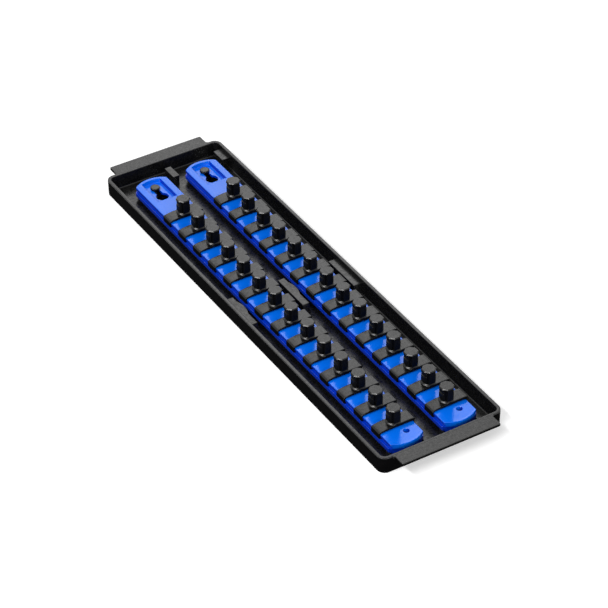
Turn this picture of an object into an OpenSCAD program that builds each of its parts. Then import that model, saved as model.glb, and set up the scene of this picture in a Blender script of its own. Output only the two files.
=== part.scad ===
// Socket tray: a shallow moulded tray that holds two clip rails, each with a row of
// sliding clips whose octagonal posts carry sockets. Millimetres, +Z up.
// Origin: middle of the tray's underside. +X runs from the keyhole end to the plain end,
// and left is the -Y side.

/* [Rail] */
// Length of a rail from end to end
rail_l = 457; // [440:1:600]
// Half the width of the rail's cap, which the clips grip
cap_hw = 17.2; // [16.4:0.1:17.8]
// Height of the cap's side face
cap_side = 2; // [1.5:0.1:3]
// Rise of the crowned top from its edge to its middle
crown = 1.3; // [0.8:0.1:2]
// Half the width of the neck between cap and flange
neck_hw = 15.7; // [15.2:0.1:16.2]
// Height of the neck
neck_h = 2.2; // [2:0.1:3]
// Half the width of the lower flange
flange_hw = 17.9; // [17:0.1:18.4]
// Height of the lower flange
flange_h = 4; // [3.6:0.1:6]
// Half the width of the rail's base under the flange
base_hw = 15; // [14:0.1:15.6]
// Height of the base under the flange
base_h = 3.7; // [3.7:0.1:5]
// Wall of the hollow rail
rail_wall = 2.3; // [1.8:0.1:2.6]
// How far the rounded ends of a rail stand out past its corners
end_bulge = 6; // [3:0.5:8]

/* [Keyhole] */
// Length of the pocket in the head of a rail
pocket_l = 34.3; // [32:0.1:38]
// Half the width of the pocket
pocket_hw = 10; // [8:0.1:11]
// Material left between the end of the rail and the pocket
pocket_rim = 3.3; // [2.5:0.1:5]
// Depth of the pocket below the edge of the cap
pocket_depth = 3.2; // [2.5:0.1:4]
// Thickness of the pocket's floor
web_t = 2.3; // [1.5:0.1:2.5]
// Radius of the round end of the keyhole
entry_r = 6; // [5:0.1:7]
// Width of the narrow end of the keyhole
slot_w = 6; // [5.4:0.1:7.4]
// Distance from the end of the rail to the pin
pin_inset = 13.1; // [11:0.1:15]
// How far the rail slides between locked and free
unlock_travel = 14; // [12:0.1:16]

/* [Keyhole pin] */
// Radius of the pin's shank
shank_r = 2.4; // [1.6:0.1:2.6]
// Radius of the pin's head
pin_head_r = 4.6; // [4.1:0.1:4.9]
// Thickness of the pin's head
pin_head_t = 2.7; // [1.6:0.1:3.4]
// Chamfer round the top of the pin's head
pin_chamfer = 0.6; // [0.3:0.1:1]
// Radius of the pin's collar, which stands on the boss
collar_r = 3.6; // [3:0.1:4]
// Height of the pin's collar
collar_t = 1.2; // [0.6:0.1:2]
// Radius of the boss that holds the pin
boss_r = 5; // [4:0.1:6]
// Height of that boss above the floor
boss_h = 3; // [2:0.1:3.4]
// Radial gap of the pin's spigot in its boss
spigot_gap = 0.05; // [0.01:0.01:0.1]
// Material left under the pin's spigot
spigot_floor = 0.8; // [0.6:0.1:1.2]

/* [Tail of the rail] */
// Radius of the screw hole in the tail
screw_r = 2.8; // [2:0.1:3.2]
// Wall of the boss round the screw hole, inside the rail
screw_wall = 2.2; // [1.5:0.1:3]
// Distance from the end of the rail to the screw hole
screw_inset = 14; // [11:0.5:18]
// Distance of the screw hole from the centre line of the rail
screw_off = 4.8; // [0:0.1:6]
// Height of the ribs on the floor beside the tail
tail_rib_h = 3.7; // [2:0.1:3.7]
// Thickness of those ribs
tail_rib_t = 1.6; // [1:0.1:2.2]
// Gap between those ribs and the base of the rail
tail_rib_gap = 1.6; // [0.6:0.1:2]
// Length of those ribs from the end wall of the tray
tail_rib_l = 15.5; // [10:0.5:24]

/* [Clips] */
// Number of clips on each rail
clip_n = 14; // [2:1:14]
// Distance from one clip to the next
clip_pitch = 27.8; // [20:0.1:29]
// Distance from the end of the rail to the middle of the last clip
row_inset = 27.3; // [22:0.1:36]
// Length of a clip along the rail
clip_l = 12.6; // [12:0.1:16]
// Gap between the pieces that slide on each other
slide_gap = 0.3; // [0.2:0.05:0.4]
// Thickness of the saddle plate on the middle of the rail
saddle_t = 1.7; // [1.4:0.1:2.4]
// Thickness of the legs that wrap round the cap
leg_t = 1; // [0.8:0.1:1.6]
// Height of the hooks that grip under the cap
hook_h = 1.2; // [0.8:0.1:1.3]

/* [Posts of the clips] */
// Width across the flats of the octagonal post, to suit a 1/2 inch square drive
post_af = 12.7; // [11.6:0.1:12.7]
// Height of the post above the middle of the saddle plate
post_h = 16.4; // [14:0.1:24]
// Chamfer round the top of the post
post_chamfer = 0.7; // [0.4:0.1:1.2]
// Height of the head over the twist groove
head_h = 1.9; // [1.5:0.1:2.6]
// Height of the twist groove
groove_h = 1.1; // [0.6:0.1:1.6]
// Depth of the twist groove
groove_d = 1.7; // [1.3:0.1:2]
// Drop from the top of the post to the lower ledge
ledge_drop = 6.9; // [5:0.1:8]
// Depth of the faces under the ledges
face_d = 0.9; // [0.5:0.1:1.1]
// Width of the upright slot
slot_across = 2.3; // [1.5:0.1:2.4]
// Distance from the upright slot to the corner beside it
slot_side = 0.4; // [0.2:0.1:0.8]
// Depth of the upright slot
slot_d = 2.4; // [1.6:0.1:2.6]
// Height of the conical foot of the post
foot_h = 2.5; // [2:0.1:4]
// Radius of the foot where it meets the saddle plate
foot_r = 6.8; // [6.4:0.1:7.6]
// Radius of the waist between the foot and the post
waist_r = 5.4; // [4.8:0.1:5.6]
// Height of the waist
waist_h = 0.6; // [0.4:0.1:1.2]

/* [Tray] */
// Height of the tray from its underside to the rim
tray_h = 16.4; // [15.4:0.1:20]
// Width of the rim, which is also the thickness of the wall
wall = 3.4; // [2.8:0.1:3.8]
// How far the wall leans in from the rim to the underside
wall_draft = 1; // [0.2:0.1:1.2]
// Thickness of the floor
floor_t = 2; // [1.8:0.1:2.6]
// Outer radius of the tray's corners
corner_r = 8; // [6:0.5:12]
// Chamfer along both edges of the rim
rim_chamfer = 0.6; // [0.2:0.1:1]
// Gap from the tail of the rail to the end wall
tail_gap = 6.2; // [2:0.1:10]
// Gap left at the head of the rail when it is slid free
head_gap = 5; // [2:0.1:10]

/* [End tabs] */
// Width of the lift tab at each end
tab_w = 100; // [60:1:104]
// Reach of the tab beyond the rim
tab_reach = 13; // [8:0.5:20]
// Thickness of the tab
tab_t = 2; // [1.5:0.1:3]
// Corner radius of the tab
tab_r = 1.5; // [1:0.5:4]
// Size of the corner piece where the side of the tab meets the rim
tab_root = 2.5; // [1:0.5:3.5]

/* [Guide blocks and posts] */
// Height of the blocks and posts above the floor
block_h = 10.1; // [6:0.1:12]
// Length of the flat top of a guide block
block_l = 44; // [32:1:60]
// Length of the ramp at each end of a guide block
block_ramp = 3; // [1:0.5:8]
// Width of the middle block and the middle post
block_w = 7; // [5:0.5:9]
// Width of the blocks and the post that stand against the side walls
side_block_w = 8.1; // [6:0.1:10]
// Gap between the clips and the blocks
block_gap = 5.25; // [3.5:0.05:8]
// How far the nub bulges from the side of a block
nub_out = 2.2; // [1:0.1:2.6]
// Length of the nub along the block
nub_l = 21; // [12:1:24]
// Distance of the nub's middle from the middle of the tray
nub_x = 4.5; // [-4:0.5:6]
// Length of a post at the keyhole end
post_l = 17.7; // [12:0.1:20]
// Gap from the rim to the far side of a post
post_gap = 7.6; // [4:0.1:10]

/* [Hidden] */
LEFT = -1;
RIGHT = 1;
$fn = 192;
// Overlap that joins two shapes of one piece, and the overshoot of a cut
bite = 1;

// Rail: heights of its steps
rail_z = floor_t + slide_gap;
flange_z = rail_z + base_h;
neck_z = flange_z + flange_h;
cap_z = neck_z + neck_h;
edge_z = cap_z + cap_side;
top_z = edge_z + crown;
crown_r = arc_radius(cap_hw, crown);
end_r = arc_radius(cap_hw, end_bulge);
hollow_hw = base_hw - rail_wall;
hollow_top = edge_z - rail_wall;

// Clips: the saddle wraps the cap with the sliding gap, and its hooks reach under it
grip_hw = cap_hw + slide_gap;
leg_hw = grip_hw + leg_t;
hook_hw = neck_hw + slide_gap;
hook_top = cap_z - slide_gap;
saddle_z = top_z + slide_gap + saddle_t;
saddle_r = crown_r + slide_gap + saddle_t;
post_top = saddle_z + post_h;
waist_z = saddle_z + foot_h;
post_z = waist_z + waist_h;
facet_w = post_af * tan(22.5);

// Tray: it follows the rails in length, and the clips and blocks in width
rail_y = block_w / 2 + block_gap + leg_hw;
in_hl = (rail_l + tail_gap + unlock_travel + head_gap) / 2;
in_hw = rail_y + leg_hw + block_gap + side_block_w;
out_hl = in_hl + wall;
out_hw = in_hw + wall;
lean = wall_draft / tray_h;
floor_lean = lean * (tray_h - floor_t);
nub_r = arc_radius(nub_l / 2, nub_out);
tail_x = in_hl - tail_gap;
head_x = tail_x - rail_l;

// Keyhole and pin
pocket_x = head_x + pocket_rim;
web_z = edge_z - pocket_depth;
web_under = web_z - web_t;
pin_x = head_x + pin_inset;
entry_x = pin_x + unlock_travel;
slot_x = pin_x + shank_r - slot_w / 2;
boss_top = floor_t + boss_h;
pin_under = web_z + slide_gap;
pin_top = pin_under + pin_head_t;

// Radius of an arc from half its chord and its rise
function arc_radius(half_chord, rise) = (half_chord * half_chord + rise * rise) / (2 * rise);
function clip_x(i) = tail_x - row_inset - (clip_n - i) * clip_pitch;
function clip_name(side, i) = str(side == LEFT ? "clip_left_" : "clip_right_", i < 10 ? "0" : "", i);

// Upright section of the tray's wall, drawn with the axis of its corners at x = 0
module wall_section() {
  polygon([
    [corner_r - wall - wall_draft, 0],
    [corner_r - wall_draft, 0],
    [corner_r - lean * rim_chamfer, tray_h - rim_chamfer],
    [corner_r - rim_chamfer, tray_h],
    [corner_r - wall + rim_chamfer, tray_h],
    [corner_r - wall - lean * rim_chamfer, tray_h - rim_chamfer]
  ]);
}

module tray_wall() {
  mid_x = out_hl - corner_r;
  mid_y = out_hw - corner_r;
  for (turn = [0, 180]) rotate([0, 0, turn]) {
    translate([-mid_x, mid_y, 0]) rotate([90, 0, 90]) linear_extrude(2 * mid_x) wall_section();
    translate([mid_x, mid_y, 0]) rotate([90, 0, 0]) linear_extrude(2 * mid_y) wall_section();
    translate([mid_x, mid_y, 0]) rotate_extrude(angle = 90) wall_section();
    translate([mid_x, -mid_y, 0]) rotate([0, 0, -90]) rotate_extrude(angle = 90) wall_section();
  }
}

module tray_floor() {
  hl = in_hl - floor_lean + bite;
  hw = in_hw - floor_lean + bite;
  r = corner_r - wall;
  linear_extrude(floor_t) {
    square([2 * hl, 2 * (hw - r)], center = true);
    square([2 * (hl - r), 2 * hw], center = true);
    for (x = [-1, 1], y = [-1, 1]) translate([x * (hl - r), y * (hw - r)]) circle(r = r);
  }
}

// Tab at the +X end, flush with the rim
module tab() {
  hw = tab_w / 2;
  translate([out_hl, 0, tray_h - tab_t]) linear_extrude(tab_t) {
    translate([-bite, -hw]) square([bite + tab_reach - tab_r, tab_w]);
    translate([-bite, tab_r - hw]) square([bite + tab_reach, tab_w - 2 * tab_r]);
    for (y = [-1, 1]) {
      translate([tab_reach - tab_r, y * (hw - tab_r)]) circle(r = tab_r);
      polygon([
        [-bite, 0],
        [tab_root, 0],
        [tab_root, y * hw],
        [0, y * (hw + tab_root)],
        [-bite, y * (hw + tab_root)]
      ]);
    }
  }
}

// Guide block from y0 to y1 with a ramp at each end
module guide_block(y0, y1) {
  hl = block_l / 2;
  translate([0, y1, floor_t]) rotate([90, 0, 0]) linear_extrude(y1 - y0) polygon([
    [-hl - block_ramp, -bite],
    [hl + block_ramp, -bite],
    [hl + block_ramp, 0],
    [hl, block_h],
    [-hl, block_h],
    [-hl - block_ramp, 0]
  ]);
}

// Rounded nub that bulges in +Y from the side of a block at y
module nub(y) {
  intersection() {
    translate([-nub_x, y + nub_out - nub_r, floor_t - bite]) cylinder(r = nub_r, h = block_h + bite);
    translate([-nub_x - nub_l / 2, y - bite, floor_t - bite]) cube([nub_l, bite + nub_out, block_h + bite]);
  }
}

// Post at the keyhole end, from y0 to y1
module end_post(y0, y1) {
  translate([post_gap - in_hl, y0, floor_t - bite]) cube([post_l, y1 - y0, block_h + bite]);
}

// Pair of ribs on the floor beside the tail of a rail, centred on y = 0
module tail_ribs() {
  for (m = [0, 1]) mirror([0, m, 0])
    translate([in_hl - floor_lean - tail_rib_l, base_hw + tail_rib_gap, floor_t - bite])
      cube([tail_rib_l + bite, tail_rib_t, tail_rib_h + bite]);
}

module tray() color("#1b1b1d") difference() {
  union() {
    tray_floor();
    tray_wall();
    for (m = [0, 1]) mirror([m, 0, 0]) tab();
    guide_block(-in_hw - bite, side_block_w - in_hw);
    guide_block(-block_w / 2, block_w / 2);
    guide_block(in_hw - side_block_w, in_hw + bite);
    nub(side_block_w - in_hw);
    nub(block_w / 2);
    end_post(-block_w / 2, block_w / 2);
    end_post(in_hw - side_block_w, in_hw + bite);
    for (side = [LEFT, RIGHT]) translate([0, side * rail_y, 0]) {
      tail_ribs();
      translate([pin_x, 0, floor_t - bite]) cylinder(r = boss_r, h = boss_h + bite);
    }
  }
  for (side = [LEFT, RIGHT])
    translate([pin_x, side * rail_y, spigot_floor]) cylinder(r = shank_r + spigot_gap, h = boss_top);
}

// Mushroom pin that the keyhole of a rail hooks under
module pin(side) color("#202022") translate([pin_x, side * rail_y, 0]) rotate_extrude() polygon([
  [0, spigot_floor],
  [shank_r, spigot_floor],
  [shank_r, boss_top],
  [collar_r, boss_top],
  [collar_r, boss_top + collar_t],
  [shank_r, boss_top + collar_t],
  [shank_r, pin_under],
  [pin_head_r, pin_under],
  [pin_head_r, pin_top - pin_chamfer],
  [pin_head_r - pin_chamfer, pin_top],
  [0, pin_top]
]);

// Rectangle centred on the upright axis of a section, from z0 to z1
module band(half_w, z0, z1) {
  translate([-half_w, z0]) square([2 * half_w, z1 - z0]);
}

// Section of the rail across its length, with Y to the right and Z up
module rail_section() {
  band(base_hw, rail_z, flange_z + bite);
  band(flange_hw, flange_z, neck_z);
  band(neck_hw, neck_z - bite, cap_z + bite);
  intersection() {
    band(cap_hw, cap_z, top_z);
    translate([0, top_z - crown_r]) circle(r = crown_r);
  }
}

// Plan of the rail with its bulging ends, drawn in by inset, and wider than the rail
module rail_plan(inset) {
  mid_hl = rail_l / 2 - end_r;
  translate([head_x + rail_l / 2, 0]) {
    square([2 * mid_hl, 2 * (flange_hw + bite)], center = true);
    for (x = [-1, 1]) translate([x * mid_hl, 0]) circle(r = end_r - inset);
  }
}

// Its children's section run along the whole rail and cut to the plan
module run_rail(inset) {
  intersection() {
    translate([head_x, 0, 0]) rotate([90, 0, 90]) linear_extrude(rail_l) children();
    linear_extrude(top_z + bite) rail_plan(inset);
  }
}

// Hollow under the cap, which stays low beneath the pocket
module rail_hollow() {
  run_rail(rail_wall) band(hollow_hw, rail_z - bite, web_under);
  intersection() {
    run_rail(rail_wall) band(hollow_hw, web_under - bite, hollow_top);
    translate([pocket_x + pocket_l + rail_wall, -hollow_hw, 0]) cube([rail_l, 2 * hollow_hw, top_z]);
  }
}

// Pocket whose far edge follows the end of the rail
module pocket() {
  translate([pocket_x, 0, web_z]) linear_extrude(top_z) intersection() {
    translate([0, -pocket_hw]) square([pocket_l, 2 * pocket_hw]);
    union() {
      translate([end_r, 0]) circle(r = end_r);
      translate([end_r, -pocket_hw]) square([pocket_l, 2 * pocket_hw]);
    }
  }
}

// Keyhole through the pocket's floor: the pin enters its round end and locks in the slot
module keyhole() {
  translate([0, 0, rail_z]) linear_extrude(top_z) {
    translate([entry_x, 0]) circle(r = entry_r);
    translate([slot_x, 0]) circle(r = slot_w / 2);
    translate([slot_x, -slot_w / 2]) square([entry_x - slot_x, slot_w]);
  }
}

module rail(side) color("#0a5cf0") translate([0, side * rail_y, 0]) difference() {
  union() {
    difference() {
      run_rail(0) rail_section();
      rail_hollow();
    }
    translate([tail_x - screw_inset, screw_off, rail_z])
      cylinder(r = screw_r + screw_wall, h = hollow_top + bite - rail_z);
  }
  pocket();
  keyhole();
  translate([tail_x - screw_inset, screw_off, rail_z - bite]) cylinder(r = screw_r, h = top_z);
}

// Saddle that wraps the rail's cap and hooks into its side grooves
module saddle() {
  translate([-clip_l / 2, 0, 0]) rotate([90, 0, 90]) linear_extrude(clip_l) difference() {
    intersection() {
      band(leg_hw, hook_top - hook_h, saddle_z);
      translate([0, saddle_z - saddle_r]) circle(r = saddle_r);
    }
    intersection() {
      band(grip_hw, hook_top, saddle_z);
      translate([0, saddle_z - saddle_r]) circle(r = saddle_r - saddle_t);
    }
    band(hook_hw, hook_top - hook_h - bite, hook_top + bite);
  }
}

// Square post with flats across X and Y, chamfered along the tops of its X sides
module post_slab() {
  hw = post_af / 2;
  translate([0, hw, 0]) rotate([90, 0, 0]) linear_extrude(post_af) polygon([
    [-hw, post_z],
    [hw, post_z],
    [hw, post_top - post_chamfer],
    [hw - post_chamfer, post_top],
    [post_chamfer - hw, post_top],
    [-hw, post_top - post_chamfer]
  ]);
}

// Octagonal post with all eight of its top edges chamfered
module octagon_post() {
  intersection_for(turn = [0, 45, 90, 135]) rotate([0, 0, turn]) post_slab();
}

// Cut into the side that faces -Y, to a depth, across from x0 to x1 and from z0 to z1
module side_cut(depth, x0, x1, z0, z1) {
  translate([x0, -post_af, z0]) cube([x1 - x0, post_af / 2 + depth, z1 - z0]);
}

// Ledges, groove and slot on two neighbouring sides, in which a socket twists and locks
module twist_cuts() {
  reach = post_af / 2;
  low = waist_z;
  slot_edge = facet_w / 2 - slot_side;
  head_under = post_top - head_h;
  side_cut(face_d, -reach, reach, low, post_top - ledge_drop);
  side_cut(groove_d, -reach, reach, post_top - ledge_drop, head_under);
  rotate([0, 0, 45]) {
    side_cut(face_d, -reach, slot_edge, low, head_under - groove_h);
    side_cut(groove_d, -reach, slot_edge, head_under - groove_h, head_under);
    side_cut(slot_d, slot_edge - slot_across, slot_edge, low, head_under);
  }
}

// Foot that flares from the waist to the saddle and ends flush with it
module foot() {
  sink = saddle_t / 2;
  intersection() {
    union() {
      translate([0, 0, saddle_z - sink]) cylinder(r = foot_r, h = sink);
      translate([0, 0, saddle_z]) cylinder(r1 = foot_r, r2 = waist_r, h = foot_h);
      translate([0, 0, waist_z]) cylinder(r = waist_r, h = waist_h);
      translate([0, 0, waist_z]) cylinder(r = waist_r / 2, h = waist_h + bite);
    }
    translate([-clip_l / 2, -foot_r, 0]) cube([clip_l, 2 * foot_r, post_top]);
  }
}

module clip(side, i) color("#232325") translate([clip_x(i), side * rail_y, 0]) {
  saddle();
  foot();
  difference() {
    octagon_post();
    twist_cuts();
    rotate([0, 0, 180]) twist_cuts();
  }
}

tray();
pin(LEFT);  // pin_left
pin(RIGHT);  // pin_right
rail(LEFT);  // rail_left
rail(RIGHT);  // rail_right
for (side = [LEFT, RIGHT], i = [1:clip_n])
  clip(side, i);
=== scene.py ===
import math

import bmesh
import bpy
import numpy as np
from mathutils import Matrix, Vector


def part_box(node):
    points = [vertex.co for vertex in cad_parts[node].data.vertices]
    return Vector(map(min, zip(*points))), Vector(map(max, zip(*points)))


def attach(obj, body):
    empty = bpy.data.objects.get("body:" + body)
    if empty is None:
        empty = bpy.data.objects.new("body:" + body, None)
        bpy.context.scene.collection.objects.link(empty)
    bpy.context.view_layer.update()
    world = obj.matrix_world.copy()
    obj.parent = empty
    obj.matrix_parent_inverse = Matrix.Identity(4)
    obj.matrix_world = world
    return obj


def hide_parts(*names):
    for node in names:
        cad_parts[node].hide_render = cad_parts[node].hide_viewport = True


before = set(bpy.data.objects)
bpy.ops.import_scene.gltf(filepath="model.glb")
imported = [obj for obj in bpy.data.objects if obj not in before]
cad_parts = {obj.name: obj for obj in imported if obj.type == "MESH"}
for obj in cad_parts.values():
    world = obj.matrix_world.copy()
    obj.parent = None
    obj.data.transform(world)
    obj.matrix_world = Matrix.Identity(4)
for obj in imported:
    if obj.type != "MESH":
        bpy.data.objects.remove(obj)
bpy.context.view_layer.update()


# ---- Tray -----------------------------------------------------------------------------
# One shallow injection moulding in black polypropylene: floor, leaning walls with a rolled
# rim, a lift tab at each end, guide blocks and posts that keep the rails in their lanes.
# Its tops are satin and its walls carry the fine spark-eroded grain of the mould.

MM = 0.001                     # the shapes below are in millimetres


def box_mm(node):
    """Lowest and highest corner of a CAD node, in millimetres."""
    low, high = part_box(node)
    return np.array(low) / MM, np.array(high) / MM


def eased(corners, reach, steps=6, closed=True):
    """Polyline through corners whose bends are parabolas: each leaves the side before its corner at
    `reach` from it, has the corner as control point, and joins the side after it at `reach`."""
    p = np.asarray(corners, float)
    r = (np.zeros(len(p)) + reach)[:, None]
    back, ahead = np.roll(p, 1, 0) - p, np.roll(p, -1, 0) - p
    start = p + back / np.linalg.norm(back, axis=1, keepdims=True) * r
    end = p + ahead / np.linalg.norm(ahead, axis=1, keepdims=True) * r
    t = np.linspace(0, 1, steps)[None, :, None]
    curve = start[:, None] * (1 - t) ** 2 + 2 * p[:, None] * t * (1 - t) + end[:, None] * t ** 2
    curve = curve.reshape(-1, p.shape[1])
    return curve if closed else np.vstack([p[:1], curve[steps:-steps], p[-1:]])


def rounded_rectangle(half_x, half_y, radius, steps=8):
    """Four quarter circles of one radius about the corners' centres, counterclockwise from +X."""
    turn = np.linspace(0, math.pi / 2, steps)
    angle = (turn[None, :] + np.arange(4)[:, None] * math.pi / 2).ravel()
    sign_x, sign_y = np.repeat([1, -1, -1, 1], steps), np.repeat([1, 1, -1, -1], steps)
    x = sign_x * (half_x - radius) + radius * np.cos(angle)
    y = sign_y * (half_y - radius) + radius * np.sin(angle)
    return np.stack([x, y], 1)


def drawn_in(outline, inset):
    """Closed counterclockwise outline moved inwards with mitred corners: a point goes by `inset` times
    the sum of the left normals of its two sides over one plus their product."""
    ahead = np.roll(outline, -1, 0) - outline
    ahead = ahead / np.linalg.norm(ahead, axis=1, keepdims=True)
    normal = np.stack([-ahead[:, 1], ahead[:, 0]], 1)
    before = np.roll(normal, 1, 0)
    share = 1 + (normal * before).sum(1, keepdims=True)
    return outline + inset * (normal + before) / share


def at_height(outline, z):
    """Plan outline lifted to height z, which may be one number or one for each point."""
    return np.column_stack([outline, np.zeros(len(outline)) + z])


def loft(rings, caps=True, flip=False):
    """Skin through a stack of closed rings of as many points each: point i of one ring is joined to
    point i of the next. Counterclockwise rings that go up face outwards. A cap is one flat face."""
    rings = np.asarray(rings, float)
    count, size = rings.shape[:2]
    here = np.arange(size)
    there = np.roll(here, -1)
    row = (np.arange(count - 1) * size)[:, None]
    quads = np.stack([row + here, row + there, row + size + there, row + size + here], -1)
    faces = quads.reshape(-1, 4).tolist()
    if caps:
        faces.append(here[::-1].tolist())
        faces.append((here + (count - 1) * size).tolist())
    if flip:
        faces = [face[::-1] for face in faces]
    return rings.reshape(-1, 3), faces


def pillar(outline, profile):
    """Solid whose plan is the outline, drawn in by the profile's first number at its second, z."""
    return loft([at_height(drawn_in(outline, inset), z) for inset, z in profile])


WELD = 0.004 * MM              # seams closer than this are one seam
SHARP = math.radians(38)       # edges that turn by more than this stay crisp


def make_piece(name, parts, finishes, body, node, second_on=None):
    """Joins shells of (points in mm, faces) into one mesh in metres, welds their seams, shades it
    smooth but for its sharp edges, and lets it stand for a CAD node on its body. A face gets the
    second finish where second_on(face centres in mm, face normals) holds."""
    first = np.cumsum([0] + [len(points) for points, _ in parts])
    points = np.vstack([points for points, _ in parts]) * MM
    faces = [[i + start for i in face] for start, (_, shell) in zip(first, parts) for face in shell]
    mesh = bpy.data.meshes.new(name)
    mesh.from_pydata(points.tolist(), [], faces)
    work = bmesh.new()
    work.from_mesh(mesh)
    bmesh.ops.remove_doubles(work, verts=work.verts, dist=WELD)
    work.to_mesh(mesh)
    work.free()
    mesh.shade_smooth()
    mesh.set_sharp_from_angle(angle=SHARP)
    for finish in finishes:
        mesh.materials.append(finish)
    if second_on is not None:
        centres, normals = np.zeros((2, 3 * len(mesh.polygons)), np.float32)
        mesh.polygons.foreach_get("center", centres)
        mesh.polygons.foreach_get("normal", normals)
        chosen = second_on(centres.reshape(-1, 3) / MM, normals.reshape(-1, 3))
        mesh.polygons.foreach_set("material_index", chosen.astype(np.int32))
    piece = bpy.data.objects.new(name, mesh)
    bpy.context.scene.collection.objects.link(piece)
    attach(piece, body)
    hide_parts(node)


def moulded_grain():
    """Node group for a moulded surface: fine grain of the mould as a height, broad soft patches
    where the melt cooled unevenly as a mask, and sparse rubbed spots as a second mask."""
    rub_middle, rub_edge = 0.02, 0.25
    group = bpy.data.node_groups.new("moulded_grain", "ShaderNodeTree")
    face = group.interface
    face.new_socket(name="Grain Scale", in_out="INPUT", socket_type="NodeSocketFloat")
    face.new_socket(name="Patch Scale", in_out="INPUT", socket_type="NodeSocketFloat")
    for name in ("Grain", "Patches", "Rubs"):
        face.new_socket(name=name, in_out="OUTPUT", socket_type="NodeSocketFloat")
    nodes, link = group.nodes, group.links.new
    given, out = nodes.new("NodeGroupInput"), nodes.new("NodeGroupOutput")
    where = nodes.new("ShaderNodeTexCoord").outputs["Object"]
    grain = nodes.new("ShaderNodeTexNoise")
    grain.inputs["Detail"].default_value = 3
    patches = nodes.new("ShaderNodeTexNoise")
    patches.inputs["Detail"].default_value = 4
    rubs = nodes.new("ShaderNodeTexVoronoi")
    thin = nodes.new("ShaderNodeMapRange")
    thin.inputs["From Min"].default_value = rub_middle
    thin.inputs["From Max"].default_value = rub_edge
    thin.inputs["To Min"].default_value = 1
    thin.inputs["To Max"].default_value = 0
    for texture, scale in ((grain, "Grain Scale"), (patches, "Patch Scale"), (rubs, "Patch Scale")):
        link(where, texture.inputs["Vector"])
        link(given.outputs[scale], texture.inputs["Scale"])
    link(rubs.outputs["Distance"], thin.inputs["Value"])
    link(grain.outputs["Fac"], out.inputs["Grain"])
    link(patches.outputs["Fac"], out.inputs["Patches"])
    link(thin.outputs["Result"], out.inputs["Rubs"])
    return group


GRAIN = moulded_grain()


def plastic(name, dark, light, smooth, rough, specular, grain_scale, patch_scale, grain_depth):
    """Moulded plastic: its colour and roughness drift between two values with the patches, the
    rubs take off a little roughness, and the grain is a bump `grain_depth` metres deep."""
    patch_low, patch_high = 0.3, 0.7
    material = bpy.data.materials.new(name)
    material.use_nodes = True
    nodes, link = material.node_tree.nodes, material.node_tree.links.new
    shader = nodes["Principled BSDF"]
    shader.inputs["Specular IOR Level"].default_value = specular
    grain = nodes.new("ShaderNodeGroup")
    grain.node_tree = GRAIN
    grain.inputs["Grain Scale"].default_value = grain_scale
    grain.inputs["Patch Scale"].default_value = patch_scale
    colour = nodes.new("ShaderNodeMix")
    colour.data_type = "RGBA"
    colour.inputs["A"].default_value = (*dark, 1)
    colour.inputs["B"].default_value = (*light, 1)
    finish = nodes.new("ShaderNodeMapRange")
    finish.inputs["From Min"].default_value = patch_low
    finish.inputs["From Max"].default_value = patch_high
    finish.inputs["To Min"].default_value = smooth
    finish.inputs["To Max"].default_value = rough
    polish = nodes.new("ShaderNodeMath")
    polish.operation = "MULTIPLY_ADD"
    polish.inputs[1].default_value = smooth - rough
    bump = nodes.new("ShaderNodeBump")
    bump.inputs["Distance"].default_value = grain_depth
    link(grain.outputs["Patches"], colour.inputs["Factor"])
    link(grain.outputs["Patches"], finish.inputs["Value"])
    link(grain.outputs["Rubs"], polish.inputs[0])
    link(finish.outputs["Result"], polish.inputs[2])
    link(grain.outputs["Grain"], bump.inputs["Height"])
    link(colour.outputs["Result"], shader.inputs["Base Color"])
    link(polish.outputs["Value"], shader.inputs["Roughness"])
    link(bump.outputs["Normal"], shader.inputs["Normal"])
    return material


TRAY_SATIN = plastic(
    "tray_satin", dark=(0.0028, 0.0028, 0.003), light=(0.0045, 0.0045, 0.0047), smooth=0.18, rough=0.38,
    specular=0.38, grain_scale=1500, patch_scale=380, grain_depth=0.04 * MM)
TRAY_GRAINED = plastic(
    "tray_grained", dark=(0.0016, 0.0016, 0.0017), light=(0.0042, 0.0042, 0.0044), smooth=0.45, rough=0.6,
    specular=0.001, grain_scale=900, patch_scale=120, grain_depth=0.12 * MM)

TAB_REACH, TAB_HALF_W, TAB_ROOT, TAB_T = 13.0, 50.0, 1.4, 2.6
RIM_W, CORNER_R, DRAFT = 3.4, 8.0, 1.0
FLOOR_Z, SUNK_Z = 2.0, 1.5     # the floor's top, and the feet of what stands on it
half_l, half_w, rim_z = box_mm("tray")[1] - (TAB_REACH, 0, 0)
lean = DRAFT * (1 - FLOOR_Z / rim_z)


def tray_shell():
    """The wall's section carried round the rim's rounded rectangle: up the leaning outside, over
    the rolled rim, down the inside and out on to the floor, with both flats closed by a face."""
    under_edge, floor_edge, foot_in = 6.0, 7.0, 0.3
    foot_r, rim_r, root_r = 0.7, 0.7, 1.6
    section = eased(
        [(under_edge, 0), (foot_in, 0), (0, rim_z), (RIM_W, rim_z), (RIM_W + lean, FLOOR_Z),
         (floor_edge, FLOOR_Z)],
        [0, foot_r, rim_r, rim_r, root_r, 0], steps=7, closed=False)
    return loft([at_height(rounded_rectangle(half_l - d, half_w - d, CORNER_R - d), z)
                 for d, z in section])


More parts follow.
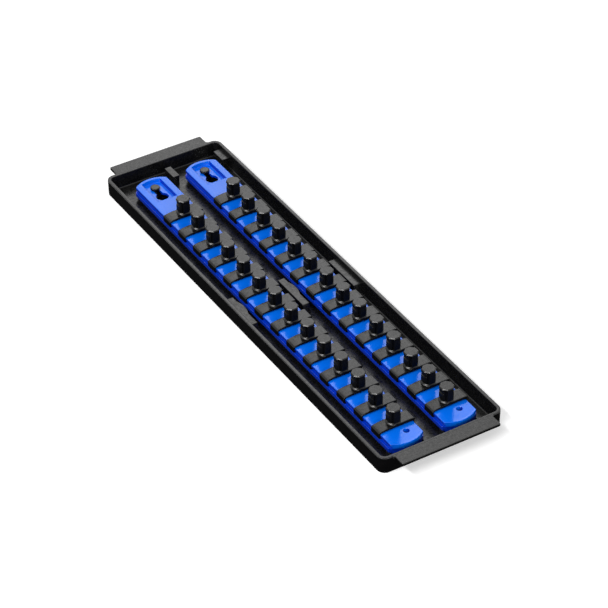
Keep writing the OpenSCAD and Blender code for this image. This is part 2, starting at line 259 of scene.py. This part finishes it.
def tab(end):
    """Flat plate flush with the rim, its plan drawn in round both edges of its thickness. The plan
    steps out at the tray's end, has rounded corners, and is the same on both sides of Y = 0."""
    lap, step_x, edge_in = 1.25, 0.4, 0.65
    root_y = TAB_HALF_W + TAB_ROOT
    half_plan = [(half_l - lap, -root_y), (half_l + step_x, -root_y), (half_l + TAB_ROOT, -TAB_HALF_W),
                 (half_l + TAB_REACH, -TAB_HALF_W)]
    half_reach = [0.95, 0.45, 0.8, 1.5]
    plan = eased(half_plan + [(x, -y) for x, y in half_plan[::-1]], half_reach + half_reach[::-1])
    low_z = rim_z - TAB_T
    edge = eased([(edge_in, low_z), (0, low_z), (0, rim_z), (edge_in, rim_z)],
                 [0, 0.45, 0.55, 0], steps=5, closed=False)
    return pillar(plan * (end, end), edge)


def block(middle_x, half_x, y0, y1, ramp=0.0, nub=0.0):
    """Upright block with rounded top edges whose ends lean out by `ramp` at the floor. A nub is a
    parabola that swells the +Y side, 21 mm long and centred 4.5 mm short of the block's middle."""
    top_z, edge_r, corner_r, corner_steps = 12.1, 0.5, 1.0, 5
    nub_half, nub_x = 10.5, -4.5
    swell = np.linspace(1, -1, 17)
    bulge = np.stack([nub_x + nub_half * swell, y1 + nub * (1 - swell ** 2)], 1)
    profile = eased([(0, SUNK_Z), (0, top_z), (edge_r + 0.1, top_z)], [0, edge_r, 0], steps=5, closed=False)
    rings = []
    for inset, z in profile:
        reach = half_x + ramp * np.clip((top_z - z) / (top_z - FLOOR_Z), 0, 1)
        plan = eased([(-reach, y0), (reach, y0), (reach, y1), (-reach, y1)], corner_r, corner_steps)
        if nub:
            plan = np.vstack([plan[:3 * corner_steps], bulge, plan[3 * corner_steps:]])
        rings.append(at_height(drawn_in(plan, inset) + (middle_x, 0), z))
    return loft(rings)


def rib(x0, x1, middle_y):
    """Low thin rib on the floor, rounded along its top."""
    half_t, end_r, top_z = 0.8, 0.5, 5.7
    plan = rounded_rectangle((x1 - x0) / 2, half_t, end_r, steps=4) + ((x0 + x1) / 2, middle_y)
    return pillar(plan, [(0, SUNK_Z), (0, top_z - 0.3), (0.1, top_z - 0.1), (0.25, top_z), (0.3, top_z)])


def disc_stack(centre, profile, steps=40):
    """Turned solid about an upright axis: circles of the profile's radii at its heights."""
    angle = np.linspace(0, 2 * math.pi, steps, endpoint=False)
    circle = np.stack([np.cos(angle), np.sin(angle)], 1)
    return loft([at_height(circle * radius + centre, z) for radius, z in profile])


BLOCK_HALF_L, BLOCK_RAMP, NUB = 22.0, 3.0, 2.2
MIDDLE_HALF_W, SIDE_W = 3.5, 8.1
END_POST_HALF_L, END_POST_GAP = 8.85, 7.6
RIB_L, RIB_OUT = 15.5, 17.4
BOSS_R, BOSS_Z = 5.0, 5.0
LET_IN = 1.0                   # how far blocks and ribs run into the wall

wall_in = half_w - RIM_W
left_block = (-wall_in - LET_IN, SIDE_W - wall_in)
middle_block = (-MIDDLE_HALF_W, MIDDLE_HALF_W)
right_block = (wall_in - SIDE_W, wall_in + LET_IN)
end_post_x = END_POST_GAP + END_POST_HALF_L - (half_l - RIM_W)
pin_low, pin_high = box_mm("pin_left")
pin_x, left_lane = (pin_low[:2] + pin_high[:2]) / 2
boss_profile = [(BOSS_R, SUNK_Z), (BOSS_R, BOSS_Z - 0.3), (BOSS_R - 0.2, BOSS_Z - 0.08),
                (BOSS_R - 0.5, BOSS_Z)]
floor_end = half_l - RIM_W - lean
tray_parts = [
    tray_shell(), tab(1), tab(-1),
    block(0, BLOCK_HALF_L, *left_block, BLOCK_RAMP, NUB),
    block(0, BLOCK_HALF_L, *middle_block, BLOCK_RAMP, NUB),
    block(0, BLOCK_HALF_L, *right_block, BLOCK_RAMP),
    block(end_post_x, END_POST_HALF_L, *middle_block),
    block(end_post_x, END_POST_HALF_L, *right_block),
]
for lane in (left_lane, -left_lane):
    for rib_y in (lane - RIB_OUT, lane + RIB_OUT):
        tray_parts.append(rib(floor_end - RIB_L, floor_end + LET_IN, rib_y))
    tray_parts.append(disc_stack((pin_x, lane), boss_profile))


def outer_wall(centre, normal):
    """True for nearly upright faces below the rim's rounding that lie less than 1.7 mm from the rim's
    rounded rectangle, by the distance to its corner circles, and for the tabs' edges."""
    skin, rounding, steep = 1.7, 0.8, 0.5
    past_x = np.abs(centre[:, 0]) - (half_l - CORNER_R)
    past_y = np.abs(centre[:, 1]) - (half_w - CORNER_R)
    outward = np.hypot(np.maximum(past_x, 0), np.maximum(past_y, 0))
    below_rim = (outward < CORNER_R + 0.1) & (centre[:, 2] < rim_z - rounding)
    tab_edge = outward > CORNER_R + 0.5
    return (outward > CORNER_R - skin) & (below_rim | tab_edge) & (np.abs(normal[:, 2]) < steep)


make_piece("tray_moulding", tray_parts, [TRAY_SATIN, TRAY_GRAINED],
           body="tray_base", node="tray", second_on=outer_wall)


# ---- Keyhole pins ---------------------------------------------------------------------
# Black mushroom-headed pins that stand in bosses on the tray's floor. The keyhole in a
# rail's head drops over the pin, and the slot slides under the pin's head to lock it.

PIN_PLASTIC = plastic(
    "pin_plastic", dark=(0.003, 0.003, 0.0031), light=(0.005, 0.005, 0.0052), smooth=0.2, rough=0.28,
    specular=0.38, grain_scale=2400, patch_scale=90, grain_depth=0.02 * MM)


def pin(node):
    """Turned solid: shank with a collar on the boss, and a flat head with a rounded shoulder."""
    low, high = box_mm(node)
    shank_r, collar_r, head_r = 2.4, 3.6, 4.6
    foot_z, collar_low, collar_top, top_z = 4.6, 4.9, 6.2, high[2]
    head_z = top_z - 2.7
    profile = eased(
        [(shank_r, foot_z), (collar_r, collar_low), (collar_r, collar_top), (shank_r, collar_top),
         (shank_r, head_z), (head_r, head_z), (head_r, top_z), (2.0, top_z), (0.5, top_z)],
        [0, 0.1, 0.2, 0.3, 0.3, 0.5, 1.1, 0.1, 0], steps=6, closed=False)
    return disc_stack((low[:2] + high[:2]) / 2, profile)


for side in ("left", "right"):
    make_piece(f"keyhole_pin_{side}", [pin(f"pin_{side}")], [PIN_PLASTIC],
               body="tray_base", node=f"pin_{side}")


# ---- Rails ----------------------------------------------------------------------------
# Two bright blue mouldings, glossy and open underneath. Each has a crowned cap that the
# clips wrap, a groove under it for their hooks, and a wider flange. A pocket with a
# keyhole is sunk in the head, and an off-centre screw hole is in the tail.

CAP_HALF, CAP_LOW_Z, CAP_EDGE_Z, CROWN = 16.9, 12.2, 14.8, 0.4
GROOVE_HALF, GROOVE_Z = 15.7, 10.0
FLANGE_HALF, FLANGE_Z = 18.0, 6.0
SKIRT_HALF, HOLLOW_HALF, SKIRT_Z, CEILING_Z = 15.0, 12.7, 2.3, 8.7
DECK_HALF, DECK_INSET = 16.2, 0.6
END_BULGE = 6.0
END_R = (CAP_HALF ** 2 + END_BULGE ** 2) / (2 * END_BULGE)
HEAD_ZONE_L, TAIL_ZONE_L = 42.0, 28.0
POCKET_GAP, POCKET_L, POCKET_HALF, POCKET_Z = 3.3, 34.3, 10.0, 11.0
UNLOCK_L = 14.0                # from the pin to the middle of the keyhole's round end
EYE_R, EYE_INSIDE, SLOT_HALF, SLOT_L = 6.0, 5.2, 3.0, 9.4
SCREW_BACK, SCREW_OFF, SCREW_R, SCREW_MOUTH_R, SCREW_BOSS_R = 14.0, 4.8, 2.8, 3.1, 5.0
ARC_STEPS, SIDE_STEPS = 33, 19

RAIL_PLASTIC = plastic(
    "rail_plastic", dark=(0.0002, 0.142, 0.80), light=(0.0004, 0.156, 0.87), smooth=0.16, rough=0.22,
    specular=0.35, grain_scale=1300, patch_scale=40, grain_depth=0.02 * MM)


def paint_shade_on_sides(material, painted_shade, groove_z):
    """Painted shade: mixes a deeper colour into the long sides, by how far they turn to either side,
    and into all that lies below the clips' groove, standing in for the shade those faces lie in;
    the tops keep the plain colour."""
    turn_starts, turn_ends, fade = 0.3, 0.9, 0.3 * MM
    nodes, link = material.node_tree.nodes, material.node_tree.links.new
    base = nodes["Principled BSDF"].inputs["Base Color"]
    bright = base.links[0].from_socket
    place = nodes.new("ShaderNodeTexCoord")
    turned, raised = nodes.new("ShaderNodeSeparateXYZ"), nodes.new("ShaderNodeSeparateXYZ")
    sideways = nodes.new("ShaderNodeMath")
    sideways.operation = "ABSOLUTE"
    side = nodes.new("ShaderNodeMapRange")
    side.inputs["From Min"].default_value = turn_starts
    side.inputs["From Max"].default_value = turn_ends
    side.inputs["To Min"].default_value = 1
    side.inputs["To Max"].default_value = 0
    above = nodes.new("ShaderNodeMapRange")
    above.inputs["From Min"].default_value = groove_z
    above.inputs["From Max"].default_value = groove_z + fade
    mix = nodes.new("ShaderNodeMix")
    mix.data_type = "RGBA"
    mix.inputs["A"].default_value = (*painted_shade, 1)
    link(place.outputs["Normal"], turned.inputs["Vector"])
    link(turned.outputs["Y"], sideways.inputs[0])
    link(sideways.outputs["Value"], side.inputs["Value"])
    link(place.outputs["Object"], raised.inputs["Vector"])
    link(raised.outputs["Z"], above.inputs["Value"])
    link(side.outputs["Result"], above.inputs["To Max"])
    link(above.outputs["Result"], mix.inputs["Factor"])
    link(bright, mix.inputs["B"])
    link(mix.outputs["Result"], base)


# The rail's sides and all below its groove take a painted shade, a deeper blue mixed into their colour.
paint_shade_on_sides(RAIL_PLASTIC, painted_shade=(0.0003, 0.035, 0.5), groove_z=(GROOVE_Z + 0.4) * MM)


def on_crown(outline):
    """Heights of the crowned top: level along the middle, it falls with the twelfth power of the
    distance from it, so that it rolls over near the cap's edge."""
    return CAP_EDGE_Z + CROWN * (1 - (outline[:, 1] / CAP_HALF) ** 12)


def on_ceiling(outline):
    """Height of the hollow's flat ceiling."""
    return CEILING_Z


def gathered(even):
    """Evenly spaced values from -1 to 1, moved by a sine so that they lie closer near both ends."""
    return 0.4 * even + 0.6 * np.sin(even * math.pi / 2)


def rail_plan(ends, half_width, inset):
    """Outline of a rail in plan, counterclockwise: an arc of radius END_R less the inset at each end,
    its corners cut by half a millimetre, its points closer there, and evenly spaced points along the
    sides of both zones."""
    corner_cut, corner_back = 0.5, 0.4
    head, head_zone, tail_zone, tail = ends
    spread = gathered(np.linspace(-1, 1, ARC_STEPS - 2)) * (1 - corner_cut / half_width)
    y = half_width * np.concatenate([[-1], spread, [1]])
    bulge = np.sqrt((END_R - inset) ** 2 - y ** 2) - END_R
    bulge[[0, -1]] -= corner_back
    tail_side = np.linspace(tail + bulge[0], tail_zone, SIDE_STEPS)
    head_side = np.linspace(head_zone, head - bulge[0], SIDE_STEPS)
    right = np.concatenate([tail_side[1:], head_side[:-1]])
    right = np.stack([right, np.full(len(right), half_width)], 1)
    return np.vstack([np.stack([tail + bulge, y], 1), right,
                      np.stack([head - bulge[::-1], y[::-1]], 1), (right * (1, -1))[::-1]])


def zone_outlines(plan):
    """The plan's head zone and tail zone as closed outlines: an end arc with the sides of its zone,
    closed by a straight row of points across the rail that the zones share with its middle."""
    across = 0.5 + 0.5 * gathered(np.linspace(-1, 1, ARC_STEPS)[1:-1, None])
    half, side = len(plan) // 2, SIDE_STEPS - 1
    head = np.vstack([plan[half - side:half], plan[half:half + ARC_STEPS + side]])
    tail = np.vstack([plan[-side:], plan[:ARC_STEPS + side]])
    return (np.vstack([head, head[-1] + (head[0] - head[-1]) * across]),
            np.vstack([tail, tail[-1] + (tail[0] - tail[-1]) * across]))


def collar(outer, inner, height, flip=False, steps=6):
    """Ruled surface from an outer outline to a hole's outline, laid at height(outline)."""
    blend = np.linspace(0, 1, steps)[:, None, None]
    flat = outer * (1 - blend) + inner * blend
    return loft([at_height(ring, height(ring)) for ring in flat], caps=False, flip=flip)


def middle(head, tail, height, flip=False):
    """Flat strip from the straight row that closes the head zone to the one that closes the tail
    zone, laid at height(outline)."""
    head_row = np.vstack([head[1 - ARC_STEPS:], head[:1]])
    tail_row = np.vstack([tail[1 - ARC_STEPS:], tail[:1]])[::-1]
    i = np.arange(ARC_STEPS - 1)
    strip = np.stack([i, i + ARC_STEPS, i + ARC_STEPS + 1, i + 1], 1)
    points = np.vstack([at_height(row, height(row)) for row in (head_row, tail_row)])
    return points, (strip[:, ::-1] if flip else strip).tolist()


def toward(outline, centre, reach):
    """For each outline point, the point at distance reach(angle) from the centre in its direction."""
    step = outline - centre
    angle = np.arctan2(step[:, 1], step[:, 0])
    return centre + np.stack([np.cos(angle), np.sin(angle)], 1) * reach(angle)[:, None]


def keyhole_reach(angle):
    """Distance to the keyhole's edge from a point inside its round end, next to the slot: the further
    of the round end's circle and the slot, whose own round end is centred SLOT_L away."""
    along, across = np.cos(angle), np.abs(np.sin(angle))
    circle = EYE_INSIDE * along + np.sqrt(EYE_R ** 2 - (EYE_INSIDE * across) ** 2)
    side = SLOT_HALF / np.maximum(across, 1e-6)
    tip = -SLOT_L * along + np.sqrt(np.maximum(SLOT_HALF ** 2 - (SLOT_L * across) ** 2, 0))
    past = -side * along > SLOT_L
    slot = np.where(past, tip, side)
    return np.maximum(circle, np.where(along > 0, 0, slot))


def section_rings(ends):
    """Rings of the hollow and the outside: each point of the section is a half width and a height,
    and its ring is the rail's plan at that half width. The hollow's rings are drawn in by the wall
    at the ends, and the cap's rise to the crown."""
    wall, rise_z = SKIRT_HALF - HOLLOW_HALF, 12.8
    section = eased(
        [(HOLLOW_HALF, CEILING_Z), (HOLLOW_HALF, SKIRT_Z), (SKIRT_HALF, SKIRT_Z), (SKIRT_HALF, FLANGE_Z),
         (FLANGE_HALF, FLANGE_Z), (FLANGE_HALF, GROOVE_Z), (GROOVE_HALF, GROOVE_Z),
         (GROOVE_HALF, CAP_LOW_Z), (CAP_HALF, CAP_LOW_Z), (CAP_HALF, CAP_EDGE_Z),
         (DECK_HALF, CAP_EDGE_Z + 0.05)],
        [0, 0.3, 0.4, 0.25, 0.5, 0.45, 0.25, 0.25, 0.4, 0.55, 0], steps=5, closed=False)
    rings = []
    for width, z in section:
        inset = wall * np.clip((SKIRT_HALF - width) / wall, 0, 1)
        if z > CAP_LOW_Z + 0.1:
            inset = DECK_INSET * np.clip((CAP_HALF - width) / (CAP_HALF - DECK_HALF), 0, 1)
        plan = rail_plan(ends, width, inset)
        rise = np.clip((z - rise_z) / (CAP_EDGE_Z - rise_z), 0, 1)
        rings.append(at_height(plan, z + rise * (on_crown(plan) - CAP_EDGE_Z)))
    rings[-1][:, 2] = on_crown(rings[-1])
    return rings


def pocket_mouth(head_x):
    """Outline of the pocket, counterclockwise, with a point for each point of the head zone: straight
    flanks, an arc of radius END_R next to the rail's end and a straight row at the other."""
    far_x, near_x = head_x + POCKET_GAP, head_x + POCKET_GAP + POCKET_L
    y = POCKET_HALF * np.linspace(1, -1, ARC_STEPS)
    far_edge = np.stack([far_x + END_R - np.sqrt(END_R ** 2 - y ** 2), y], 1)
    near_row = np.stack([np.full(ARC_STEPS - 2, near_x), y[1:-1][::-1]], 1)
    flank = np.linspace(near_x, far_edge[0, 0], SIDE_STEPS)[:-1]
    flank = np.stack([flank, np.full(len(flank), POCKET_HALF)], 1)
    return np.vstack([flank, far_edge, (flank * (1, -1))[::-1], near_row])


def pocket(head_zone, head_x):
    """Shells of the deck round the pocket, its rounded lip and steep wall, its bed and the wall of the
    keyhole, which is slightly wider at its top, and the keyhole's outline."""
    mouth = pocket_mouth(head_x)
    lips = [drawn_in(mouth, inset) for inset in (-0.35, -0.1, 0)]
    bed = drawn_in(mouth, 0.5)
    wall = [at_height(lip, on_crown(lip) - drop) for lip, drop in zip(lips, (0, 0.12, 0.4))]
    wall += [at_height(drawn_in(mouth, 0.15), POCKET_Z + 0.3), at_height(bed, POCKET_Z)]
    eye = np.array([pin_x + UNLOCK_L - EYE_INSIDE, 0.0])
    keyhole = toward(bed, eye, keyhole_reach)
    wide = toward(bed, eye, lambda angle: keyhole_reach(angle) + 0.2)
    shells = [
        collar(head_zone, lips[0], on_crown),
        loft(wall, caps=False),
        collar(bed, wide, lambda outline: POCKET_Z),
        loft([at_height(wide, POCKET_Z), at_height(keyhole, POCKET_Z - 0.25), at_height(keyhole, CEILING_Z)],
             caps=False),
    ]
    return shells, keyhole


def screw_hole(tail_zone, tail_x):
    """Shells of the deck round the screw hole, and of its wall with the boss round it below, and the
    boss's outline."""
    screw = np.array([tail_x - SCREW_BACK, SCREW_OFF])
    mouth, hole, boss = (toward(tail_zone, screw, lambda angle: np.full(len(angle), radius))
                         for radius in (SCREW_MOUTH_R, SCREW_R, SCREW_BOSS_R))
    wall = [at_height(mouth, on_crown(mouth)), at_height(hole, on_crown(hole) - 0.3),
            at_height(hole, SKIRT_Z), at_height(boss, SKIRT_Z), at_height(boss, CEILING_Z)]
    return [collar(tail_zone, mouth, on_crown), loft(wall, caps=False)], boss


def rail(node):
    """Whole rail: the skin round its plan, the crowned deck with its pocket, keyhole and screw hole,
    and the same zones again as the ceiling of the hollow."""
    low, high = box_mm(node)
    head_x, tail_x, lane = low[0], high[0], (low[1] + high[1]) / 2
    rings = section_rings((head_x, head_x + HEAD_ZONE_L, tail_x - TAIL_ZONE_L, tail_x))
    head_deck, tail_deck = zone_outlines(rings[-1][:, :2])
    head_ceiling, tail_ceiling = zone_outlines(rings[0][:, :2])
    head_shells, keyhole = pocket(head_deck, head_x)
    tail_shells, screw_boss = screw_hole(tail_deck, tail_x)
    shells = [
        loft(rings, caps=False), *head_shells, *tail_shells,
        collar(head_ceiling, keyhole, on_ceiling, flip=True),
        collar(tail_ceiling, screw_boss, on_ceiling, flip=True),
        middle(head_deck, tail_deck, on_crown),
        middle(head_ceiling, tail_ceiling, on_ceiling, flip=True),
    ]
    return [(points + (0, lane, 0), faces) for points, faces in shells]


for side in ("left", "right"):
    make_piece(f"clip_rail_{side}", rail(f"rail_{side}"), [RAIL_PLASTIC],
               body=f"{side}_rail", node=f"rail_{side}")


# ---- Clips ----------------------------------------------------------------------------
# Black nylon saddles that snap over the rail's cap and slide on it. Each carries an
# eight-sided post that fits a 1/2 inch square drive: the head turns in the socket over
# the stepped ledges and groove below it, and the post flares into the saddle at its foot.

CLIP_PLASTIC = plastic(
    "clip_plastic", dark=(0.003, 0.003, 0.0031), light=(0.005, 0.005, 0.0052), smooth=0.15, rough=0.3,
    specular=0.32, grain_scale=2200, patch_scale=420, grain_depth=0.04 * MM)
CLIP_SIDES = plastic(
    "clip_sides", dark=(0.003, 0.003, 0.0031), light=(0.005, 0.005, 0.0052), smooth=0.35, rough=0.5,
    specular=0.05, grain_scale=2200, patch_scale=420, grain_depth=0.06 * MM)

CLIP_HALF_L = 6.3
SADDLE_TOP = 18.4
POST_HALF_AF = 6.35
STEP_H = 0.24                  # height of the soft step at each ledge of the post


def saddle():
    """C-shaped section, counterclockwise with Y right and Z up, run along X, with only its outside
    drawn in round both ends. Its top is level and thicker on the right of the post, where it ends in
    a crisp edge; on the left it falls to the leg with the third power of Y."""
    leg, grip, hook, hook_low, hook_top = 18.4, 17.3, 16.0, 10.7, 11.9
    corner_r, fall, thicker, narrower = 0.9, 1.6, 0.5, 0.4
    bore_z, bore_fall, crisp_fall = 16.4, 1.3, 0.3
    end_r, end_share, steps = 0.5, 0.6, 5
    spread = np.sin(np.linspace(math.pi / 2, -math.pi / 2, 21))
    raised = thicker * np.clip(spread * 6 + 0.5, 0, 1)
    drop = np.where(spread < 0, fall * np.abs(spread) ** 3, crisp_fall * spread ** 20)
    top_half = np.where(spread < 0, leg - corner_r, leg - corner_r - narrower)
    outer_top = np.stack([top_half * spread, SADDLE_TOP + raised - drop], 1)
    inner_top = np.stack([-grip * spread, bore_z - bore_fall * spread ** 10], 1)

    def side(y, top_z, rise):
        """The hook and the leg up to the rounding of its top, for a leg at y."""
        corners = [(grip, hook_top), (hook, hook_top), (hook, hook_low), (y, hook_low), (y, top_z),
                   (y - 2, top_z + rise)]
        return eased(corners, [0, 0.2, 0.3, 0.4, corner_r, 0], steps, closed=False)[:-1]

    right = side(leg - narrower, SADDLE_TOP + 0.25, rise=0.1)
    left = side(leg, SADDLE_TOP - fall - 0.3, rise=0.5)
    section = np.vstack([right, outer_top[1:-1], (left * (-1, 1))[::-1], inner_top[1:-1]])
    hook_points, outside_points = 2 * steps + 1, 2 * len(right) + len(spread) - 2
    share = np.zeros((len(section), 1))
    share[hook_points:outside_points - hook_points] = end_share
    ends = eased([(2 * end_r, 0), (0, 0), (0, 2 * end_r)], [0, end_r, 0], steps=5, closed=False)
    cuts = [(inset, along - CLIP_HALF_L) for inset, along in ends[1:]]
    cuts += [(inset, -x) for inset, x in cuts[::-1]]
    return loft([np.column_stack([np.full(len(section), x), drawn_in(section, inset * share)])
                 for inset, x in cuts])


def step_at(z, level, low, high):
    """A value that goes from low to high in a smooth step of height STEP_H, centred on a level."""
    t = np.clip((z - level) / STEP_H + 0.5, 0, 1)
    return low + (high - low) * t * t * (3 - 2 * t)


def post():
    """Post as a radius over angle and height. Eight flats each at a distance d from the axis give
    r = the least of d / cos(angle to the flat). The distances step with height at the chamfer,
    groove and ledges, alike on opposite flats, and the foot is a flared skirt cut at the saddle's ends."""
    top, under_head, groove_floor, low_ledge, bottom, chamfer = 33.9, 32.0, 30.9, 27.0, 20.6, 0.75
    full, face, groove, slot = POST_HALF_AF, POST_HALF_AF - 0.9, POST_HALF_AF - 1.7, POST_HALF_AF - 2.4
    slot_near, slot_far, half_flat = math.radians(-0.7), math.radians(19.3), math.radians(22.5)
    flare_z, flare_r = [18.3, 18.6, 18.9, 19.3, 19.7, 20.0], [6.9, 6.85, 6.65, 6.2, 5.7, 5.45]
    ledge_flats, slot_flats = (2, 6), (3, 7)
    band = np.linspace(-0.5, 0.5, 7) * STEP_H
    past_band = STEP_H / 2 + 0.01
    far, least_cos = 99.0, 0.05

    head_z = [33.0, top - chamfer - 0.02, top - chamfer + 0.06, top - chamfer / 2, top - 0.06, top, top]
    z = np.concatenate([[17.8], flare_z, [20.3], bottom + band, [23.0], low_ledge + band, [29.0],
                        groove_floor + band, under_head + band, head_z])[:, None]
    kinks = np.array([slot_near, slot_far, half_flat, -half_flat])
    kinks = np.concatenate([kinks - 0.004, kinks + 0.004]) - math.pi / 4
    angle = np.concatenate([np.linspace(0, 2 * math.pi, 136, endpoint=False), kinks, kinks + math.pi])
    angle = np.sort(np.unique(np.mod(angle, 2 * math.pi)))[None, :]

    plain = full - np.clip(z - (top - chamfer), 0, chamfer)
    plain[-1] -= 0.2
    radius = np.full((len(z), angle.shape[1]), far)
    for flat in range(8):
        off = np.mod(angle - flat * math.pi / 4 + math.pi, 2 * math.pi) - math.pi
        distance = plain + 0 * off
        if flat in ledge_flats:
            ledge = step_at(z, low_ledge, face, groove)
            distance = np.where(z < under_head + past_band, step_at(z, under_head, ledge, full), distance)
        if flat in slot_flats:
            ledge = step_at(z, groove_floor, face, groove)
            depth = np.where(off < slot_near, ledge, slot)
            depth = np.where(off > slot_far, full, depth)
            distance = np.where(z < under_head + past_band, step_at(z, under_head, depth, full), distance)
        reach = distance / np.maximum(np.cos(off), least_cos)
        radius = np.minimum(radius, np.where(np.abs(off) < math.pi / 3, reach, far))
    flare = np.interp(z, flare_z, flare_r)
    flare = np.minimum(flare, (CLIP_HALF_L - 0.05) / np.maximum(np.abs(np.cos(angle)), least_cos))
    neck = step_at(z, bottom, np.minimum(flare, radius), radius)
    radius = np.where(z < bottom - past_band, flare, neck)
    return loft(np.stack([radius * np.cos(angle), radius * np.sin(angle), z + 0 * radius], -1))


def upright(centre, normal):
    """True for faces that stand nearly upright; they keep the duller grain of the mould."""
    return np.abs(normal[:, 2]) < 0.3


clip_shape = [saddle(), post()]
for side in ("left", "right"):
    for node in sorted(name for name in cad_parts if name.startswith(f"clip_{side}_")):
        low, high = box_mm(node)
        place = np.array([*((low[:2] + high[:2]) / 2), 0])
        shells = [(points + place, faces) for points, faces in clip_shape]
        make_piece(f"socket_{node}", shells, [CLIP_PLASTIC, CLIP_SIDES],
                   body=node.replace(f"clip_{side}", f"{side}_clip"), node=node, second_on=upright)


# ---- Floor, light and camera ----------------------------------------------------------
# A white floor to stand the tray on. A soft panel hangs behind the object, where the
# plastic's tops mirror it to the camera, a long strip lights it from the left and a short
# one from the front, and the white room fills in the rest.

FLOOR_HALF, FLOOR_DROP = 6.0, 0.0002


def seen_directly(tree, seen, unseen):
    """Socket that is `seen` for camera, glossy and transmission rays and `unseen` for the rest."""
    nodes, link = tree.nodes, tree.links.new
    rays = nodes.new("ShaderNodeLightPath")
    total = rays.outputs["Is Camera Ray"]
    for kind in ("Is Glossy Ray", "Is Transmission Ray"):
        add = nodes.new("ShaderNodeMath")
        add.operation = "MAXIMUM"
        link(total, add.inputs[0])
        link(rays.outputs[kind], add.inputs[1])
        total = add.outputs["Value"]
    level = nodes.new("ShaderNodeMapRange")
    level.inputs["To Min"].default_value = unseen
    level.inputs["To Max"].default_value = seen
    link(total, level.inputs["Value"])
    return level.outputs["Result"]


def floor_material():
    """Pale paper with a faint tooth that also glows a little for the camera and in reflections, so
    that it comes out white beside the object's shadow."""
    material = bpy.data.materials.new("paper_floor")
    material.use_nodes = True
    nodes, link = material.node_tree.nodes, material.node_tree.links.new
    shader = nodes["Principled BSDF"]
    shader.inputs["Roughness"].default_value = 0.9
    shader.inputs["Specular IOR Level"].default_value = 0.1
    shader.inputs["Emission Color"].default_value = (1, 1, 1, 1)
    tooth = nodes.new("ShaderNodeTexNoise")
    tooth.inputs["Scale"].default_value = 300
    tint = nodes.new("ShaderNodeMapRange")
    tint.inputs["To Min"].default_value = 0.80
    tint.inputs["To Max"].default_value = 0.84
    link(nodes.new("ShaderNodeTexCoord").outputs["Object"], tooth.inputs["Vector"])
    link(tooth.outputs["Fac"], tint.inputs["Value"])
    link(tint.outputs["Result"], shader.inputs["Base Color"])
    link(seen_directly(material.node_tree, seen=0.40, unseen=0.0), shader.inputs["Emission Strength"])
    return material


floor_mesh = bpy.data.meshes.new("floor")
floor_mesh.from_pydata([(-FLOOR_HALF, -FLOOR_HALF, 0), (FLOOR_HALF, -FLOOR_HALF, 0),
                        (FLOOR_HALF, FLOOR_HALF, 0), (-FLOOR_HALF, FLOOR_HALF, 0)], [], [(0, 1, 2, 3)])
floor_mesh.materials.append(floor_material())
floor = bpy.data.objects.new("floor", floor_mesh)
floor.location.z = -FLOOR_DROP
bpy.context.scene.collection.objects.link(floor)

world = bpy.data.worlds.new("white_room")
bpy.context.scene.world = world
world.use_nodes = True
backdrop = world.node_tree.nodes["Background"]
backdrop.inputs["Color"].default_value = (1, 1, 1, 1)
world.node_tree.links.new(seen_directly(world.node_tree, seen=1.0, unseen=0.28), backdrop.inputs["Strength"])

LIGHT_DISTANCE = 2.2


def panel(name, direction, along, length, width, radiance):
    """Soft light box of a length laid along a direction, hung LIGHT_DISTANCE from the tray's middle
    and facing it. Its power is radiance x pi x area."""
    lamp = bpy.data.lights.new(name, "AREA")
    lamp.shape = "RECTANGLE"
    lamp.size, lamp.size_y = length, width
    lamp.energy = radiance * math.pi * length * width
    thing = bpy.data.objects.new(name, lamp)
    facing = Vector(direction).normalized()
    side = (Vector(along) - facing * facing.dot(Vector(along))).normalized()
    thing.matrix_world = Matrix((side, facing.cross(side), facing)).transposed().to_4x4()
    thing.location = facing * LIGHT_DISTANCE
    thing.visible_camera = False
    bpy.context.scene.collection.objects.link(thing)


panel("rear_panel", direction=(-0.677, 0.33, 0.658), along=(0, 0.89, -0.45), length=1.35, width=0.8,
      radiance=2.35)
panel("left_strip", direction=(0.14, -0.61, 0.78), along=(1, 0, 0), length=1.8, width=0.32, radiance=20.0)
panel("front_strip", direction=(0.9, -0.12, 0.42), along=(0, 1, 0), length=1.2, width=0.3, radiance=14.0)

# Camera fitted to the photograph's edges: place, axes and focal length in its square frame.
CAMERA_AT = (1.71295, -1.02833, 1.53533)
CAMERA_RIGHT = (0.5239, 0.8518, -0.0075)
CAMERA_UP = (-0.5166, 0.3247, 0.7923)
CAMERA_BACK = (0.6773, -0.4112, 0.6101)
SENSOR_MM, FOCAL_MM = 36.0, 163.76
FRAME_PX, SHIFT_PX = 608, 0.5
lens = bpy.data.cameras.new("camera")
lens.sensor_width = SENSOR_MM
lens.lens = FOCAL_MM
lens.shift_x = -SHIFT_PX / FRAME_PX
lens.shift_y = SHIFT_PX / FRAME_PX
lens.clip_end = 50
camera = bpy.data.objects.new("camera", lens)
camera.matrix_world = Matrix((CAMERA_RIGHT, CAMERA_UP, CAMERA_BACK)).transposed().to_4x4()
camera.location = CAMERA_AT
bpy.context.scene.collection.objects.link(camera)
bpy.context.scene.camera = camera
bpy.context.scene.view_settings.view_transform = "Standard"
